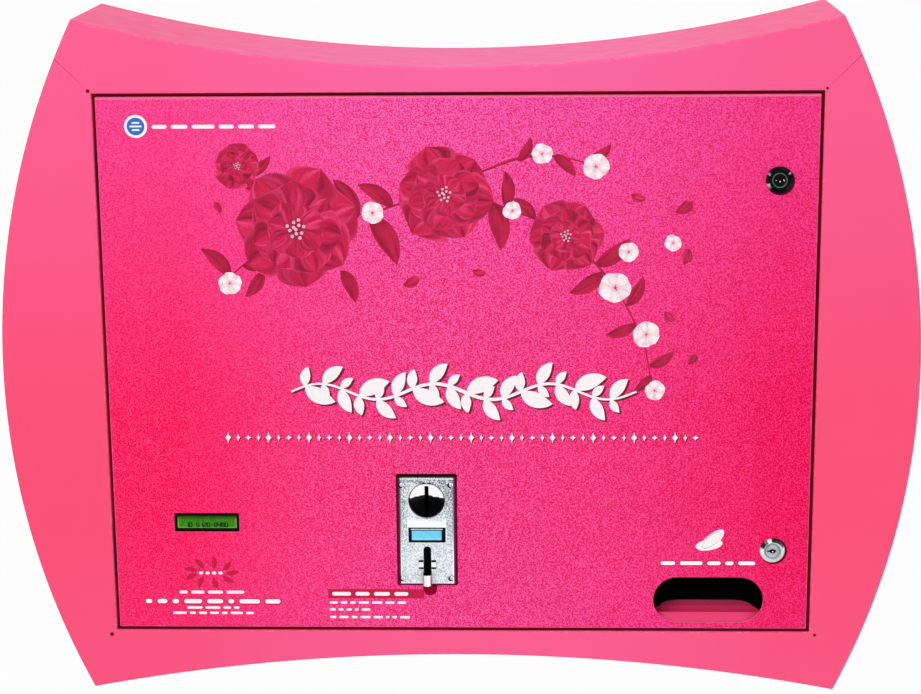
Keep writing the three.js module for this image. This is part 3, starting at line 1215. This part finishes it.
// Assembly
function vendRows() {
  const path = coilPath();
  console.log(`vend coil, least gap to itself: ${leastGapToItself(path).toFixed(2)} mm`);
  return coilHeights().map((z, i) => {
    const row = i + 1;
    const under = z - COIL_LIFT;
    const rows = new THREE.Group();
    rows.add(
      groupAt(BULKHEAD_RIGHT + SEAM, PANEL_FACE, under, [piece(`shelf_${row}`, shelf(), bareSteel())]),
      groupAt(COIL_LEFT, COIL_Y, z, [piece(`vend_coil_${row}`, vendCoil(path), springSteel())]),
      groupAt(HUB_LEFT, COIL_Y, z, [piece(`coil_hub_${row}`, coilHub(), whitePlastic())]),
      groupAt(BULKHEAD_X, COIL_Y, z, [piece(`gear_motor_${row}`, gearMotor(), greyPlastic())]),
    );
    return rows;
  });
}

function hinge(side, z) {
  return groupAt(HINGE_X, HINGE_Y, z, [
    piece(`${side}_hinge_frame_leaf`, frameLeaf(), bareSteel()),
    piece(`${side}_hinge_door_leaf`, doorLeaf(), bareSteel()),
    piece(`${side}_hinge_pin`, hingePin(), bareSteel()),
  ]);
}

function coinUnit() {
  const disc = piece('coin_entry_disc', entryDisc(), chrome());
  disc.position.set(0, 0, ENTRY_RISE);
  return groupAt(COIN_X, FRONT, COIN_Z, [
    piece('coin_plate', coinPlate(), castAluminium()),
    piece('coin_acceptor_body', acceptorBody(), blackPlastic()),
    disc,
    piece('coin_display_frame', displayFrame(), blackGloss()),
    piece('coin_display_lens', displayLens(), cyanGlass()),
    piece('coin_return_cup', returnCup(), castAluminium()),
  ]);
}

function characterDisplay() {
  return groupAt(LCD_X, FRONT, LCD_Z, [
    piece('lcd_module', lcdModule(), blackPlastic()),
    piece('lcd_glass', lcdGlass(), greenGlass()),
  ]);
}

function mainsSwitch() {
  const rocker = piece('mains_rocker', switchRocker(), blackGloss());
  rocker.position.set(0, ROCKER_PIVOT, 0);
  rocker.rotation.x = THREE.MathUtils.degToRad(ROCKER_ANGLE / 2);
  const face = PANEL_FACE - SWITCH_PLATE_RISE - THIN_SHEET;
  return [
    groupAt(SWITCH_X, PANEL_FACE, SWITCH_Z, [piece('switch_bracket', switchBracket(), bareSteel())]),
    groupAt(SWITCH_X, face, SWITCH_Z, [piece('mains_switch', switchHousing(), blackPlastic()), rocker]),
  ];
}

function door() {
  const stiffeners = STIFFENER_X_SHARES.map((share, i) => groupAt(share * DOOR_WIDTH, SKIN_REAR, 0, [
    piece(`door_stiffener_${i + 1}`, stiffener(), doorPaint()),
  ]));
  return groupAt(0, 0, 0, [
    groupAt(0, FRONT, 0, [piece('door_panel', doorPanel(), doorPaint())]),
    ...stiffeners,
    lock('upper', UPPER_LOCK_X, UPPER_LOCK_Z, UPPER_LOCK_HEAD, UPPER_LOCK_PLUG, blackGloss(), blackGloss()),
    lock('lower', LOWER_LOCK_X, LOWER_LOCK_Z, LOWER_LOCK_HEAD, LOWER_LOCK_PLUG, chrome(), bareSteel()),
    coinUnit(),
    characterDisplay(),
    groupAt(COIN_X, CASH_FRONT, CASH_BOTTOM_Z, [
      piece('cash_box', cashBox(), bareSteel()),
      piece('cash_box_cage', cashCage(), bareSteel()),
    ]),
  ]);
}

function cabinet() {
  return groupAt(0, 0, 0, [
    ...surroundWings(),
    piece('cabinet_wrap', cabinetWrap(), wingPaint()),
    piece('back_panel', backPanel(), insidePaint()),
    hinge('upper', HINGE_SPREAD),
    hinge('lower', -HINGE_SPREAD),
    groupAt(0, 0, UPPER_LOCK_Z, [piece('upper_lock_keeper', lockKeeper(), bareSteel())]),
    groupAt(0, 0, LOWER_LOCK_Z, [piece('lower_lock_keeper', lockKeeper(), bareSteel())]),
    piece('motor_bulkhead', motorBulkhead(), bareSteel()),
    ...vendRows(),
    piece('drop_chute', dropChute(), blackSheet()),
    piece('collection_tray', collectionTray(), insidePaint()),
    groupAt(SUPPLY_X, -BACK_FOLD - SUPPLY_BACK, -WRAP_INSIDE_Z + SEAM, [
      piece('power_supply', powerSupply(), bareSteel()),
    ]),
    groupAt(CONTROLLER_X, CONTROLLER_REAR, CONTROLLER_Z, [
      piece('controller_board', controllerBoard(), greenBoard()),
    ]),
    ...mainsSwitch(),
    groupAt(GROMMET_X, 0, GROMMET_Z, [piece('wall_grommet', wallGrommet(), rubber())]),
  ]);
}

const machine = new THREE.Group();
machine.add(cabinet(), door());

export default machine;
